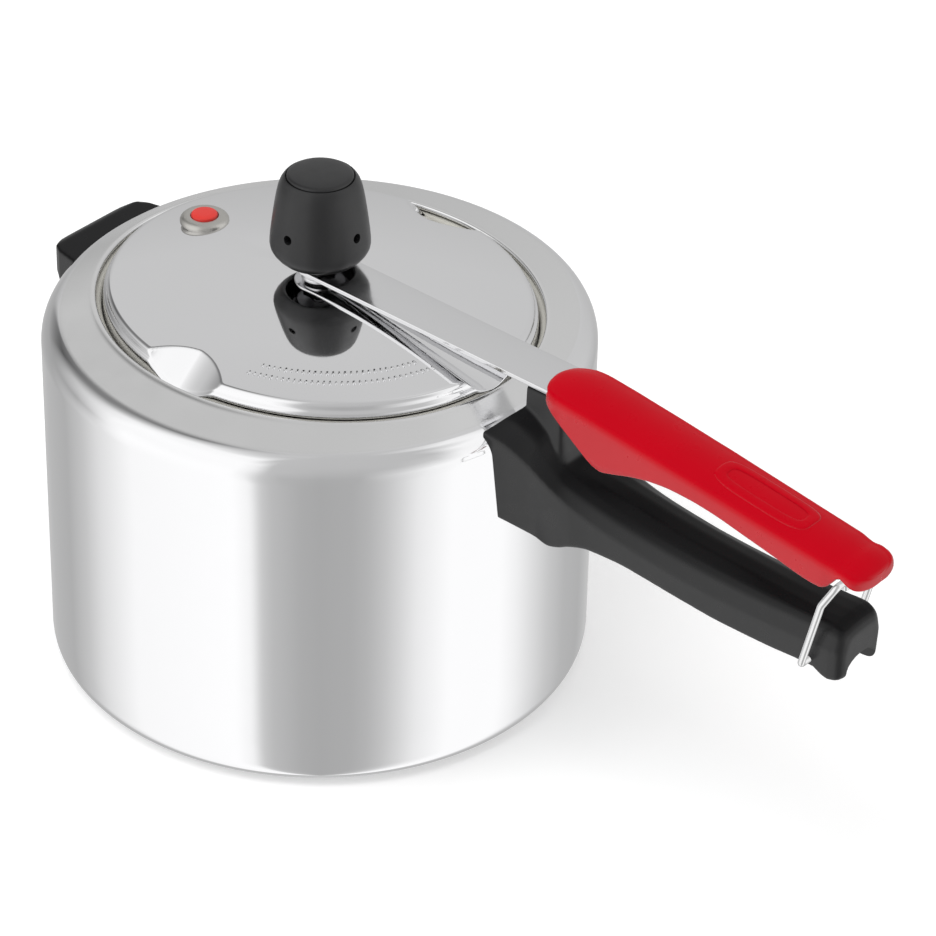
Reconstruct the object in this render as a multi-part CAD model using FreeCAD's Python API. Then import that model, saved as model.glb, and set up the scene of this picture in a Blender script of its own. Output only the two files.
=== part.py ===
import FreeCAD, Part
import math
import os

os.makedirs("parts", exist_ok=True)
V = FreeCAD.Vector

# ---- driving dimensions, mm ----
bodyR = 102.0          # outside radius of the pot wall
wall = 2.0             # pot sheet
baseT = 3.0            # pot bottom
cornerR = 8.6          # bottom corner, outside
shoulderZ = 131.9      # height where the wall turns in
shoulderR = 10.5       # shoulder rounding, outside
shoulderA = 70.0       # shoulder arc, degrees
rimZ = 146.0           # top of the oval rim
mouthA = 85.7          # half length of the oval mouth, along the handles
mouthB = 77.3          # half width of the oval mouth
rimW = 1.6             # flat on top of the rim
lidSquash = 0.9        # lid width over lid length
lidTop = 157.8         # crown of the domed lid
lidT = 1.5             # lid sheet
barW = 19.2            # lever strip width
barT = 1.8             # lever strip thickness
barZ0 = 162.1          # strip top at the pot axis
barZ1 = 160.0          # strip top where it enters the handle
barX1 = 113.0
barEnd = 160.0
droop = 0.137          # fall of the upper handle per mm of length
fulcrumX = 106.0
postX0 = 105.4         # post of the lower handle
postX1 = 121.0
postW = 9.3            # half width of the post
postZ = 157.85
wireR = 1.3
latchX = 232.5         # cross hole of the wire loop
latchZ = 103.7
hookX = 242.4          # top of the wire loop
hookZ = 138.6
weightTop = 199.6


def revolve(points, base=V(0, 0, 0)):
    wire = Part.makePolygon([V(r, 0, z) for r, z in points + [points[0]]])
    face = Part.Face(wire)
    solid = face.revolve(V(0, 0, 0), V(0, 0, 1), 360)
    solid.translate(base)
    return solid


def arcPoints(cx, cz, r, a0, a1, n):
    out = []
    for i in range(n + 1):
        a = math.radians(a0 + (a1 - a0) * i / n)
        out.append((cx + r * math.cos(a), cz + r * math.sin(a)))
    return out


def revolveEdges(edges):
    face = Part.Face(Part.Wire(edges))
    return face.revolve(V(0, 0, 0), V(0, 0, 1), 360)


def line(a, b):
    return Part.makeLine(V(a[0], 0, a[1]), V(b[0], 0, b[1]))


def arc(cx, cz, r, a0, a1):
    pts = arcPoints(cx, cz, r, a0, a1, 2)
    p = [V(x, 0, z) for x, z in pts]
    return Part.Arc(p[0], p[1], p[2]).toShape()


def ovalWire(a, b, z):
    if abs(a - b) < 1e-6:
        return Part.Wire(Part.Circle(V(0, 0, z), V(0, 0, 1), a).toShape())
    return Part.Wire(Part.Ellipse(V(0, 0, z), a, b).toShape())


def ovalPrism(a, b, z0, z1):
    return Part.Face(ovalWire(a, b, z0)).extrude(V(0, 0, z1 - z0))


def ovalLoft(low, high):
    return Part.makeLoft([ovalWire(*low), ovalWire(*high)], True, True)


def prism(points, y0, y1):
    """Side outline given as (x, z), extruded across the handle."""
    wire = Part.makePolygon([V(x, y0, z) for x, z in points + [points[0]]])
    return Part.Face(wire).extrude(V(0, y1 - y0, 0))


def plan(points, z0, z1):
    wire = Part.makePolygon([V(x, y, z0) for x, y in points + [points[0]]])
    return Part.Face(wire).extrude(V(0, 0, z1 - z0))


def mirrored(points):
    return points + [(x, -y) for x, y in reversed(points) if abs(y) > 1e-6]


def cyl(r, h, base, axis=V(0, 0, 1)):
    return Part.makeCylinder(r, h, base, axis)


def boxAt(x0, x1, y0, y1, z0, z1):
    return Part.makeBox(x1 - x0, y1 - y0, z1 - z0, V(x0, y0, z0))


def interp(table, x, k):
    if x <= table[0][0]:
        return table[0][k]
    for a, b in zip(table, table[1:]):
        if x <= b[0]:
            f = (x - a[0]) / (b[0] - a[0])
            return a[k] + f * (b[k] - a[k])
    return table[-1][k]


def turnAbout(shape, x, z, deg):
    s = shape.copy()
    s.rotate(V(x, 0, z), V(0, 1, 0), deg)
    return s


def barTop(x):
    if x <= barX1:
        return barZ0 + (barZ1 - barZ0) * x / barX1
    return barZ1 - (x - barX1) * droop


# ---- pot ----
def potProfile(off, bottom, top):
    """Outer (off 0) or inner surface of the round part, closed on the axis."""
    r = bodyR - off
    c = cornerR - off
    s = shoulderR - off
    cx = bodyR - shoulderR
    end = arcPoints(cx, shoulderZ, s, 0, shoulderA, 2)[-1]
    edges = [line((0, bottom), (r - c, bottom)),
             arc(r - c, bottom + c, c, -90, 0),
             line((r, bottom + c), (r, shoulderZ)),
             arc(cx, shoulderZ, s, 0, shoulderA),
             line(end, (0, end[1])),
             line((0, end[1]), (0, bottom))]
    return revolveEdges(edges), end


def potOuter():
    body, end = potProfile(0.0, 0.0, 0.0)
    cone = ovalLoft((end[0], end[0], end[1]), (mouthA + rimW, mouthB + rimW, rimZ))
    return body.fuse(cone)


def potBody():
    body, end = potProfile(wall, baseT, 0.0)
    room = ovalLoft((end[0], end[0], end[1]), (mouthA + 0.8, mouthB + 0.8, rimZ - 2.0))
    pot = potOuter().cut(body).cut(room)
    pot = pot.cut(ovalPrism(mouthA, mouthB, 100.0, 160.0))
    for side in (1, -1):
        for y in (-7.0, 7.0):
            x = 94.0 if side > 0 else -108.0
            pot = pot.cut(cyl(2.55, 14.0, V(x, y, 127.0 if side > 0 else 116.0), V(1, 0, 0)))
    return pot.removeSplitter()


def potClearance():
    """Room for the pot behind the lower handle's root."""
    gap = 0.3
    cx = bodyR - shoulderR
    pts = [(0, 60), (bodyR + gap, 60)]
    pts += arcPoints(cx, shoulderZ, shoulderR + gap, 0, 44, 6)
    pts += [(99.3, 141.7), (postX0 - 0.1, 150.0), (postX0 - 0.1, 175.0), (0, 175)]
    return revolve(pts)


def bracket(side, zc, reach, tongue, hole):
    """Curved steel plate riveted to the wall, with a tongue for the handle screw."""
    ring = cyl(bodyR + 1.5, 22.0, V(0, 0, zc - 11.0)).cut(cyl(bodyR + 0.02, 24.0, V(0, 0, zc - 12.0)))
    keep = boxAt(90.0, 112.0, -12.0, 12.0, zc - 12.0, zc + 12.0)
    b = ring.common(keep)
    b = b.fuse(boxAt(bodyR + 0.6, reach, -8.0, 8.0, tongue, tongue + 3.5))
    b = b.cut(cyl(2.0, 10.0, V(hole, 0, tongue - 3.0)))
    for y in (-7.0, 7.0):
        b = b.cut(cyl(2.55, 14.0, V(94.0, y, zc), V(1, 0, 0)))
    if side < 0:
        b.rotate(V(0, 0, 0), V(0, 0, 1), 180)
    return b


def rivet(side, y, zc):
    """Domed head inside the pot, shank through wall and plate, flat head outside."""
    xin = math.sqrt((bodyR - wall) ** 2 - y * y)
    r = cyl(2.5, 8.2, V(xin - 2.2, y, zc), V(1, 0, 0))
    keep = boxAt(xin - 6, xin - 0.9, y - 6, y + 6, zc - 6, zc + 6)
    head = Part.makeSphere(6.0, V(xin + 2.6, y, zc)).common(keep)
    tail = cyl(4.0, 1.1, V(xin + 4.3, y, zc), V(1, 0, 0))
    r = r.fuse(head).fuse(tail)
    if side < 0:
        r.rotate(V(0, 0, 0), V(0, 0, 1), 180)
    return r


def screw(x, y, z0, length, headR, headH, shankR):
    """Pan head down, shank up."""
    s = cyl(headR, headH, V(x, y, z0)).fuse(cyl(shankR, length, V(x, y, z0 + headH - 0.01)))
    slot = boxAt(x - headR - 1, x + headR + 1, y - 0.5, y + 0.5, z0 - 1, z0 + 0.9)
    return s.cut(slot)


# ---- lower handle ----
# x, half width, underside, side edge height, half width of the ridge, ridge height, crown height
grip = [(94, 23.2, 105.8, 142.0, 8.6, 150.2, 150.2), (100, 22.6, 104.4, 140.6, 8.6, 149.9, 149.9),
        (104, 21.6, 103.4, 139.3, 8.6, 149.6, 149.6), (114, 19.2, 100.9, 133.0, 8.8, 144.5, 144.5),
        (121, 18.0, 99.3, 127.8, 9.0, 134.7, 134.7), (125, 17.3, 101.2, 125.0, 9.2, 131.2, 131.4),
        (131, 16.5, 104.6, 121.8, 9.6, 128.8, 130.0), (139, 15.5, 106.0, 118.7, 9.9, 126.5, 129.0),
        (150, 14.7, 105.8, 116.0, 9.8, 124.1, 127.6), (165, 13.9, 104.0, 113.4, 9.7, 122.1, 125.6),
        (180, 13.4, 102.0, 111.6, 9.5, 120.7, 124.2), (196, 13.0, 100.6, 110.8, 9.5, 119.9, 123.2),
        (212, 12.7, 100.2, 110.6, 9.5, 119.6, 122.1), (228, 12.6, 100.7, 111.0, 9.5, 119.9, 121.4),
        (234, 12.6, 100.9, 111.4, 9.5, 120.1, 121.3), (238, 12.9, 99.2, 111.6, 9.6, 120.3, 121.3),
        (241, 12.8, 98.5, 111.8, 9.6, 120.2, 121.2), (244, 11.8, 99.0, 111.5, 8.8, 118.8, 119.6),
        (246, 10.0, 100.4, 110.6, 7.4, 116.4, 116.8)]


def gripSection(row):
    x, w, zb, ze, p, zp, zc = row
    zm = ze + 0.72 * (zp - ze)
    pm = w + 0.45 * (p - w)
    lean = 4.2 if x < 115 else max(0.8, 4.2 - 0.22 * (x - 115))
    half = [(w - lean - 1.4, zb), (w - lean, zb + 1.8), (w, ze), (pm, zm), (p, zp), (0.0, zc)]
    pts = [V(x, -y, z) for y, z in half] + [V(x, y, z) for y, z in reversed(half[:-1])]
    return Part.makePolygon(pts + [pts[0]])


def lowerHandle():
    h = Part.makeLoft([gripSection(r) for r in grip], True, True)
    post = plan([(98, -postW), (postX1 - 2, -postW), (postX1, -postW + 2), (postX1, postW - 2),
                 (postX1 - 2, postW), (98, postW)], 120.0, postZ)
    ramp = prism([(98, 150), (postX0 + 1.8, postZ + 1), (98, postZ + 1)], -20, 20)
    low = postX1 + 0.5
    slope = prism([(112.0, postZ), (low, postZ - 1.25), (low, postZ + 1), (112.0, postZ + 1)], -20, 20)
    h = h.fuse(post.cut(ramp).cut(slope)).cut(potClearance())
    tunnel = []
    for x in (126.0, 133.0, 150.0, 180.0, 212.0, 228.0, 235.0, 248.0):
        zb = interp(grip, x, 2)
        d = 6.0 if x > 128 else 2.0
        arch = [(8.2, zb - 3), (8.2, zb + 0.32 * d), (5.6, zb + 0.8 * d), (0.0, zb + d)]
        pts = [V(x, -y, z) for y, z in arch] + [V(x, y, z) for y, z in reversed(arch[:-1])]
        tunnel.append(Part.makePolygon(pts + [pts[0]]))
    h = h.cut(Part.makeLoft(tunnel, True, True))
    # recess for the bracket, and the screw that holds the handle to it
    h = h.cut(cyl(bodyR + 2.0, 26.0, V(0, 0, 114.0)).common(boxAt(90, 112, -13, 13, 114, 140)))
    h = h.cut(boxAt(98, 120.5, -8.5, 8.5, 116.0, 121.0)).cut(boxAt(98, 108.0, -12, 12, 122.0, 132.0))
    h = h.cut(cyl(2.2, 40.0, V(115.0, 0, 95.0))).cut(cyl(4.6, 12.0, V(115.0, 0, 94.0)))
    h = h.cut(cyl(wireR + 0.05, 40.0, V(latchX, -20, latchZ), V(0, 1, 0)))
    return h


# ---- helper handle, opposite the long one ----
def helperHandle():
    zt = 133.6
    out = mirrored([(-118.6, 0.0), (-118.2, 10.0), (-116.9, 17.0), (-114.0, 22.0), (-110.0, 24.5),
                    (-98.0, 27.0)])
    body = plan(out, 100.0, zt)
    side = prism([(-98.0, 98.0), (-104.0, 98.0), (-105.6, 112.0), (-109.0, 118.6), (-113.0, 121.2),
                  (-117.6, 121.6), (-118.9, 123.4), (-118.9, 129.0), (-117.4, 131.8), (-113.8, zt),
                  (-98.0, zt)],
                 -30.0, 30.0)
    h = body.common(side).cut(potClearance())
    ring = cyl(bodyR + 2.0, 25.0, V(0, 0, 103.5)).common(boxAt(-112, -90, -13, 13, 103, 129))
    h = h.cut(ring).cut(boxAt(-115.6, -98, -8.5, 8.5, 123.2, 127.4))
    h = h.cut(boxAt(-107.6, -98, -12, 12, 110.0, 122.0))
    h = h.cut(cyl(2.2, 14.0, V(-111.0, 0, 117.0))).cut(cyl(4.0, 5.2, V(-111.0, 0, 116.0)))
    return h.cut(cyl(2.2, 3.5, V(-111.0, 0, 127.0)))


# ---- lever: strip and upper handle ----
def lidBar():
    x0 = -barW / 2
    pts = [(x0, barTop(x0)), (barX1, barTop(barX1)), (barEnd, barTop(barEnd))]
    low = [(x, z - barT) for x, z in reversed(pts)]
    bar = prism(pts + low, -barW / 2, barW / 2)
    ends = boxAt(0, barEnd + 2, -barW / 2, barW / 2, 140, 170).fuse(cyl(barW / 2, 30, V(0, 0, 140)))
    bar = bar.common(ends)
    bar = bar.cut(cyl(6.2, 20, V(0, 0, 150)))
    for x in (132.0, 150.0):
        bar = bar.cut(cyl(2.3, 30, V(x, 0, 145)))
    return bar


top = [(110.4, 158.6), (111.6, 160.8), (114.0, 162.2), (120.0, 162.9), (126.0, 162.4), (155.0, 158.6),
       (184.0, 154.7), (213.0, 150.5), (232.0, 147.7), (236.0, 147.0), (239.0, 146.2), (242.0, 145.9),
       (246.0, 145.2), (249.0, 143.8), (251.2, 141.4)]
skirt = [(110.4, 156.6), (117.0, 154.9), (128.0, 147.8), (138.0, 141.0), (141.0, 140.2), (146.0, 141.4),
         (155.0, 144.0), (163.0, 145.6), (171.0, 146.2), (180.0, 145.8), (188.0, 144.8), (205.0, 141.2),
         (227.0, 136.1), (232.0, 135.2), (236.0, 135.2), (239.0, 137.2), (240.9, 140.4), (243.6, 140.7),
         (245.0, 140.3), (246.5, 139.6), (248.0, 138.8), (249.5, 138.0), (251.0, 137.4)]


def upperPlan(grow):
    half = [(110.3, 0.0), (110.9, 4.5), (112.6, 8.3), (115.4, 11.3), (119.4, 13.2), (124.0, 13.8),
            (160.0, 13.8), (200.0, 13.4), (228.0, 13.0), (234.0, 12.8), (238.0, 12.4), (241.5, 12.2),
            (246.0, 12.3), (248.0, 11.6), (249.6, 9.6), (250.6, 6.6), (251.1, 3.2), (251.2, 0.0)]
    return mirrored([(x, max(y + grow, 0.0)) for x, y in half])


def crowned(x0, x1, dz):
    """Arched cross-section drawn out along the fall of the handle."""
    half = [(14.5, 80), (14.5, 156.4), (12.6, 158.9), (10.4, 160.4), (7.0, 161.6), (3.5, 162.2),
            (0.0, 162.4)]
    pts = [V(x0, -y, z + dz) for y, z in half] + [V(x0, y, z + dz) for y, z in reversed(half[:-1])]
    wire = Part.makePolygon(pts + [pts[0]])
    return Part.Face(wire).extrude(V(x1 - x0, 0, -droop * (x1 - x0)))


def upperHandle():
    outline = top + list(reversed(skirt))
    h = prism(outline, -15, 15).common(plan(upperPlan(0.0), 120, 175)).common(crowned(100.0, 252.0, 3.6))
    roof = [(98, barTop(98) + 0.02), (barX1, barTop(barX1) + 0.02), (160.2, barTop(160.2) + 0.02)]
    roof += [(160.4, 154.0), (213.0, 146.6), (232.0, 143.8), (247.2, 142.6)]
    inner = prism(roof + [(247.2, 120), (98, 120)], -10.4, 10.4)
    shape = [(98.0, 10.4), (232.0, 10.0), (238.0, 9.6), (245.0, 8.0), (247.3, 4.5), (247.3, 0.0)]
    h = h.cut(inner.common(plan(mirrored(shape), 110, 175)))
    for x in (132.0, 150.0):
        h = h.cut(cyl(1.5, 6.4, V(x, 0, barTop(x) - 4.0)))
    # notch in both skirts, above the top of the wire loop
    notch = prism([(240.6, 135.0), (241.2, 140.4), (242.6, 142.3), (244.0, 140.4), (244.6, 135.0)], -16, 16)
    return h.cut(notch)


def handleScrew(x):
    """Pan head under the strip, shank up into the handle."""
    z = barTop(x) - barT - 0.65
    return screw(x, 0, z - 2.2, 4.6, 4.0, 2.2, 1.45)


# ---- wire loop ----
def wireLoop():
    side = 16.2
    path = [V(hookX, -7.6, hookZ - 3.2), V(hookX, -7.9, hookZ), V(hookX, -13.2, hookZ),
            V(hookX - 3.6, -side, hookZ - 7.6), V(latchX, -side, latchZ)]
    back = [V(p.x, -p.y, p.z) for p in reversed(path)]
    pts = path + back
    solid = None
    for a, b in zip(pts, pts[1:]):
        d = b.sub(a)
        piece = Part.makeCylinder(wireR, d.Length, a, d)
        solid = piece if solid is None else solid.fuse(piece)
    for p in pts[1:-1]:
        solid = solid.fuse(Part.makeSphere(wireR, p))
    return solid


# ---- lid ----
def lidShape(points):
    s = revolve(points)
    m = FreeCAD.Matrix()
    m.scale(V(1.0, lidSquash, 1.0))
    return s.transformGeometry(m)


def domeZ(r):
    return lidTop - 7.6 * (r / 80.5) ** 2


def lidTools(extra):
    """Two finger scoops at the sides and the trough under the strip."""
    tools = []
    r = 38.0
    tilt = math.radians(40.4)
    for side in (1, -1):
        axis = V(0, side * math.cos(tilt), -math.sin(tilt))
        mid = V(-1.5, side * (72.45 + r * math.sin(tilt)), 143.1 + r * math.cos(tilt))
        tools.append(cyl(r + extra, 140, mid.sub(axis * 70), axis))
    a = V(-4.0, 0, 157.9)
    b = V(92.0, 0, 160.9)
    cone = Part.makeCone(0.6 + extra, 18.6 + extra, b.sub(a).Length, a, b.sub(a))
    tools.append(cone)
    t = tools[0].fuse(tools[1]).fuse(tools[2])
    return t.common(ovalPrism(84.2, 84.2 * lidSquash, 141.6 - extra, 180.0))


def lid():
    n = 8
    out = [(80.0 * i / n, domeZ(80.0 * i / n)) for i in range(n + 1)]
    outer = out + [(81.4, 149.6), (82.2, 148.2), (83.2, 143.5), (83.4, 138.6), (91.6, 138.6), (92.2, 138.0),
                   (92.2, 135.8), (90.7, 135.8), (90.7, 137.1), (0, 137.1)]
    ins = [(79.4 * i / n, domeZ(79.4 * i / n) - lidT) for i in range(n + 1)]
    inner = ins + [(80.5, 147.6), (81.7, 143.4), (81.9, 130.0), (0, 130.0)]
    shell = lidShape(outer).cut(lidTools(0.0))
    shell = shell.cut(lidShape(inner).cut(lidTools(lidT)))
    shell = shell.cut(cyl(3.7, 40, V(0, 0, 130)))
    shell = shell.cut(cyl(5.6, 40, V(-60.5, 3.3, 130)))
    return shell


def gasket():
    pts = [(83.6, 138.7), (91.0, 138.7), (91.2, 139.4), (91.0, 141.2), (89.2, 142.3),
           (87.0, 143.3), (84.9, 143.3), (84.2, 142.6)]
    return lidShape(pts)


def ventPipe():
    pts = [(1.4, 145.0), (3.6, 145.0), (3.6, 159.1), (4.8, 159.1), (4.8, 163.1), (3.4, 163.1), (3.4, 170.0),
           (2.6, 173.4), (1.4, 173.4)]
    return revolve(pts)


def washer(r0, r1, z0, z1):
    return cyl(r1, z1 - z0, V(0, 0, z0)).cut(cyl(r0, z1 - z0 + 2, V(0, 0, z0 - 1)))


def hexNut(r0, flat, z0, z1, base=V(0, 0, 0)):
    r = flat / 2 / math.cos(math.radians(30))
    pts = [V(r * math.cos(math.radians(60 * i)), r * math.sin(math.radians(60 * i)), z0) for i in range(7)]
    n = Part.Face(Part.makePolygon(pts)).extrude(V(0, 0, z1 - z0))
    n = n.cut(cyl(r0, z1 - z0 + 2, V(0, 0, z0 - 1)))
    n.translate(base)
    return n


# ---- regulating weight ----
def weightCore():
    pts = [(0, 177.2), (2.0, 175.8), (3.2, 173.2), (3.75, 170.4), (9.0, 170.4), (9.6, 171.2), (9.6, 193.0),
           (0, 193.0)]
    core = revolve(pts)
    for ang in (0, 90):
        d = V(math.cos(math.radians(ang)), math.sin(math.radians(ang)), 0)
        core = core.cut(cyl(1.2, 24, V(0, 0, 176.5).sub(d * 12), d))
    return core


def weightCover():
    pts = [(13.4, 165.0), (14.6, 165.3), (17.6, 168.4), (18.4, 170.6), (18.2, 174.0), (17.1, 182.5),
           (15.9, 190.5), (14.9, 194.8), (13.4, 197.6), (12.5, 198.5), (12.5, 196.4), (9.9, 196.4),
           (9.9, 193.3), (9.65, 193.1), (9.65, 184.5), (12.6, 184.0), (14.6, 172.0), (13.2, 167.4)]
    c = revolve(pts)
    for ang in (0, 90):
        d = V(math.cos(math.radians(ang)), math.sin(math.radians(ang)), 0)
        c = c.cut(cyl(1.8, 44, V(0, 0, 178.8).sub(d * 22), d))
    return c


def weightCap():
    return revolve([(0, 193.4), (9.7, 193.4), (9.7, 196.5), (12.2, 196.5), (12.2, 198.7), (11.6, 199.2),
                    (6, 199.5), (0, weightTop)])


# ---- safety valve ----
def valveSeat():
    z = 151.6
    pts = [(2.65, z - 7.0), (5.5, z - 7.0), (5.5, z), (9.2, z), (9.2, z + 3.4), (8.2, z + 4.6),
           (5.2, z + 4.8), (5.2, z + 3.2), (2.65, z + 3.2)]
    seat = revolve(pts, V(-60.5, 3.3, 0))
    dome = [(5.0 * i, domeZ(5.0 * i) + 0.03) for i in range(17)]
    under = lidShape(dome + [(80.0, 140.0), (0, 140.0)])
    stem = cyl(5.5, 20.0, V(-60.5, 3.3, 140.0))
    return seat.cut(under.cut(stem))


def safetyPlug():
    z = 151.6
    pts = [(0, z - 9.0), (2.0, z - 9.0), (2.6, z - 8.0), (2.6, z + 3.3), (4.9, z + 3.3),
           (4.9, z + 5.2), (4.3, z + 5.8), (0, z + 6.0)]
    return revolve(pts, V(-60.5, 3.3, 0))


parts = {
    "pot_body": potBody(),
    "handle_bracket": bracket(1, 127.0, 120.0, 116.5, 115.0),
    "bracket_rivet_left": rivet(1, 7.0, 127.0),
    "bracket_rivet_right": rivet(1, -7.0, 127.0),
    "lower_handle": lowerHandle(),
    "lower_handle_screw": screw(115.0, 0, 103.2, 16.0, 4.2, 2.6, 1.95),
    "helper_bracket": bracket(-1, 116.0, 115.2, 123.5, 111.0),
    "helper_rivet_left": rivet(-1, 7.0, 116.0),
    "helper_rivet_right": rivet(-1, -7.0, 116.0),
    "helper_handle": helperHandle(),
    "helper_screw": screw(-111.0, 0, 118.9, 8.4, 3.6, 2.2, 1.95),
    "wire_loop": wireLoop(),
    "lid_bar": lidBar(),
    "upper_handle": upperHandle(),
    "handle_screw_inner": handleScrew(132.0),
    "handle_screw_outer": handleScrew(150.0),
    "lid": lid(),
    "lid_gasket": gasket(),
    "vent_pipe": ventPipe(),
    "vent_collar": washer(3.65, 7.0, domeZ(0), 159.05),
    "vent_nut": hexNut(3.45, 12.0, 163.15, 167.0),
    "vent_back_nut": hexNut(3.65, 13.0, 149.4, 153.8),
    "valve_seat": valveSeat(),
    "valve_nut": hexNut(5.55, 15.0, 146.6, 150.4, V(-60.5, 3.3, 0)),
    "safety_plug": safetyPlug(),
    "weight_core": weightCore(),
    "weight_cover": weightCover(),
    "weight_cap": weightCap(),
}

for name, shape in parts.items():
    if len(shape.Solids) != 1 or not shape.isValid():
        print("check", name, "solids", len(shape.Solids), "valid", shape.isValid())
    solid = shape.Solids[0] if len(shape.Solids) == 1 else shape
    solid.exportStep("parts/" + name + ".step")
    b = shape.BoundBox
    print("%-20s %8.1f mm3  x %.1f..%.1f y %.1f..%.1f z %.1f..%.1f" % (
        name, shape.Volume, b.XMin, b.XMax, b.YMin, b.YMax, b.ZMin, b.ZMax))
print("nodes", len(parts))
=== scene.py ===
import bmesh
import bpy
import math
from mathutils import Matrix, Vector


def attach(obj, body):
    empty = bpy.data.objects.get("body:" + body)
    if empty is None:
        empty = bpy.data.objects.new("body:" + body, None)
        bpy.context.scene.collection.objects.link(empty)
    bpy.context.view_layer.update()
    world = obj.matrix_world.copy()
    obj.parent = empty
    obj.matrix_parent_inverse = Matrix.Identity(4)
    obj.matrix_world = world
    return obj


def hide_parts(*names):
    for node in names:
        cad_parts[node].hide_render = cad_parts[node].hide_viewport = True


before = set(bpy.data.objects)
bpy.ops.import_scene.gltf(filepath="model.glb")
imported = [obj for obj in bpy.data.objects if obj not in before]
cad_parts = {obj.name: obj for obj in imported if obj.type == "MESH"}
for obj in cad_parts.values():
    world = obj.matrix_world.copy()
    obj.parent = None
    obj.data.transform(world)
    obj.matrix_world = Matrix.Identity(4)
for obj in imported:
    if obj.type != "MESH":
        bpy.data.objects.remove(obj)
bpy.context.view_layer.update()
mm = 0.001


def linear(code):
    out = []
    for i in (0, 2, 4):
        c = int(code[i:i + 2], 16) / 255
        out.append(c / 12.92 if c <= 0.04045 else ((c + 0.055) / 1.055) ** 2.4)
    return (*out, 1.0)


# smooth value from rows of (s, v1, v2, ...), without overshoot
def spline(table, s, k):
    xs = [row[0] for row in table]
    ys = [row[k] for row in table]
    if s <= xs[0]:
        return ys[0]
    if s >= xs[-1]:
        return ys[-1]
    i = max(j for j in range(len(xs) - 1) if xs[j] <= s)
    d = [(ys[j + 1] - ys[j]) / (xs[j + 1] - xs[j]) for j in range(len(xs) - 1)]

    def slope(j):
        if j == 0 or j == len(xs) - 1:
            return d[0] if j == 0 else d[-1]
        if d[j - 1] * d[j] <= 0:
            return 0.0
        return 2 * d[j - 1] * d[j] / (d[j - 1] + d[j])

    h = xs[i + 1] - xs[i]
    t = (s - xs[i]) / h
    m0, m1 = slope(i) * h, slope(i + 1) * h
    return ((2 * t ** 3 - 3 * t ** 2 + 1) * ys[i] + (t ** 3 - 2 * t ** 2 + t) * m0
            + (-2 * t ** 3 + 3 * t ** 2) * ys[i + 1] + (t ** 3 - t ** 2) * m1)


def addMesh(name, verts, faces, smooth=True, sharp=None):
    data = bpy.data.meshes.new(name)
    data.from_pydata([tuple(c * mm for c in v) for v in verts], [], faces)
    data.validate()
    bm = bmesh.new()
    bm.from_mesh(data)
    bmesh.ops.remove_doubles(bm, verts=bm.verts, dist=1e-7)
    bmesh.ops.recalc_face_normals(bm, faces=bm.faces)
    bm.to_mesh(data)
    bm.free()
    ob = bpy.data.objects.new(name, data)
    bpy.context.scene.collection.objects.link(ob)
    shade(ob, smooth, sharp)
    return ob


def shade(ob, smooth=True, sharp=None):
    ob.data.polygons.foreach_set("use_smooth", [smooth] * len(ob.data.polygons))
    if sharp is not None:
        ob.data.set_sharp_from_angle(angle=math.radians(sharp))
    ob.data.update()


def gridFaces(rows, cols, wrapRows=False, wrapCols=True):
    faces = []
    for i in range(rows if wrapRows else rows - 1):
        for j in range(cols if wrapCols else cols - 1):
            a, b = i * cols + j, i * cols + (j + 1) % cols
            c, d = ((i + 1) % rows) * cols + (j + 1) % cols, ((i + 1) % rows) * cols + j
            faces.append((a, b, c, d))
    return faces


# stations: (half length, half width, height) rings, joined in order
def ovalLathe(name, stations, seg, sharp=None, closed=False):
    verts = []
    for a, b, z in stations:
        for j in range(seg):
            t = 2 * math.pi * j / seg
            verts.append((a * math.cos(t), b * math.sin(t), z))
    return addMesh(name, verts, gridFaces(len(stations), seg, closed), True, sharp)


def lathe(name, profile, seg=96, sharp=None, at=(0, 0), closed=False):
    ob = ovalLathe(name, [(max(r, 1e-5), max(r, 1e-5), z) for r, z in profile], seg, sharp, closed)
    ob.data.transform(Matrix.Translation((at[0] * mm, at[1] * mm, 0)))
    return ob


def arcRow(cx, cz, r, a0, a1, n):
    return [(cx + r * math.cos(math.radians(a0 + (a1 - a0) * i / n)),
             cz + r * math.sin(math.radians(a0 + (a1 - a0) * i / n))) for i in range(n + 1)]


# a path with its corners rounded
def rounded(points, radius, n=5, closed=False):
    pts = [Vector(p) for p in points]
    out = []
    count = len(pts)
    for i, p in enumerate(pts):
        if not closed and i in (0, count - 1):
            out.append(p)
            continue
        a, b = pts[i - 1] - p, pts[(i + 1) % count] - p
        ang = a.angle(b)
        if ang > 3.13:
            out.extend([p] * (n + 1 if closed else 1))
            continue
        r = radius[i] if isinstance(radius, (list, tuple)) else radius
        cut = min(r / math.tan(ang / 2), 0.48 * a.length, 0.48 * b.length)
        p0, p1 = p + a.normalized() * cut, p + b.normalized() * cut
        for k in range(n + 1):
            t = k / n
            out.append(p0 * (1 - t) ** 2 + p * 2 * t * (1 - t) + p1 * t ** 2)
    return out


def tube(name, path, radius, sides=20):
    verts = []
    count = len(path)
    side = None
    for i, p in enumerate(path):
        d = (path[min(i + 1, count - 1)] - path[max(i - 1, 0)]).normalized()
        if side is None:
            side = d.orthogonal().normalized()
        side = (side - d * side.dot(d)).normalized()
        up = d.cross(side)
        for j in range(sides):
            t = 2 * math.pi * j / sides
            verts.append(tuple(p + side * radius * math.cos(t) + up * radius * math.sin(t)))
    faces = gridFaces(count, sides)
    faces.append(tuple(range(sides)))
    faces.append(tuple(reversed(range((count - 1) * sides, count * sides))))
    return addMesh(name, verts, faces, True, 50)


def applyModifiers(ob):
    bpy.context.view_layer.update()
    graph = bpy.context.evaluated_depsgraph_get()
    data = bpy.data.meshes.new_from_object(ob.evaluated_get(graph))
    ob.modifiers.clear()
    old = ob.data
    ob.data = data
    bpy.data.meshes.remove(old)
    return ob


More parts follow.
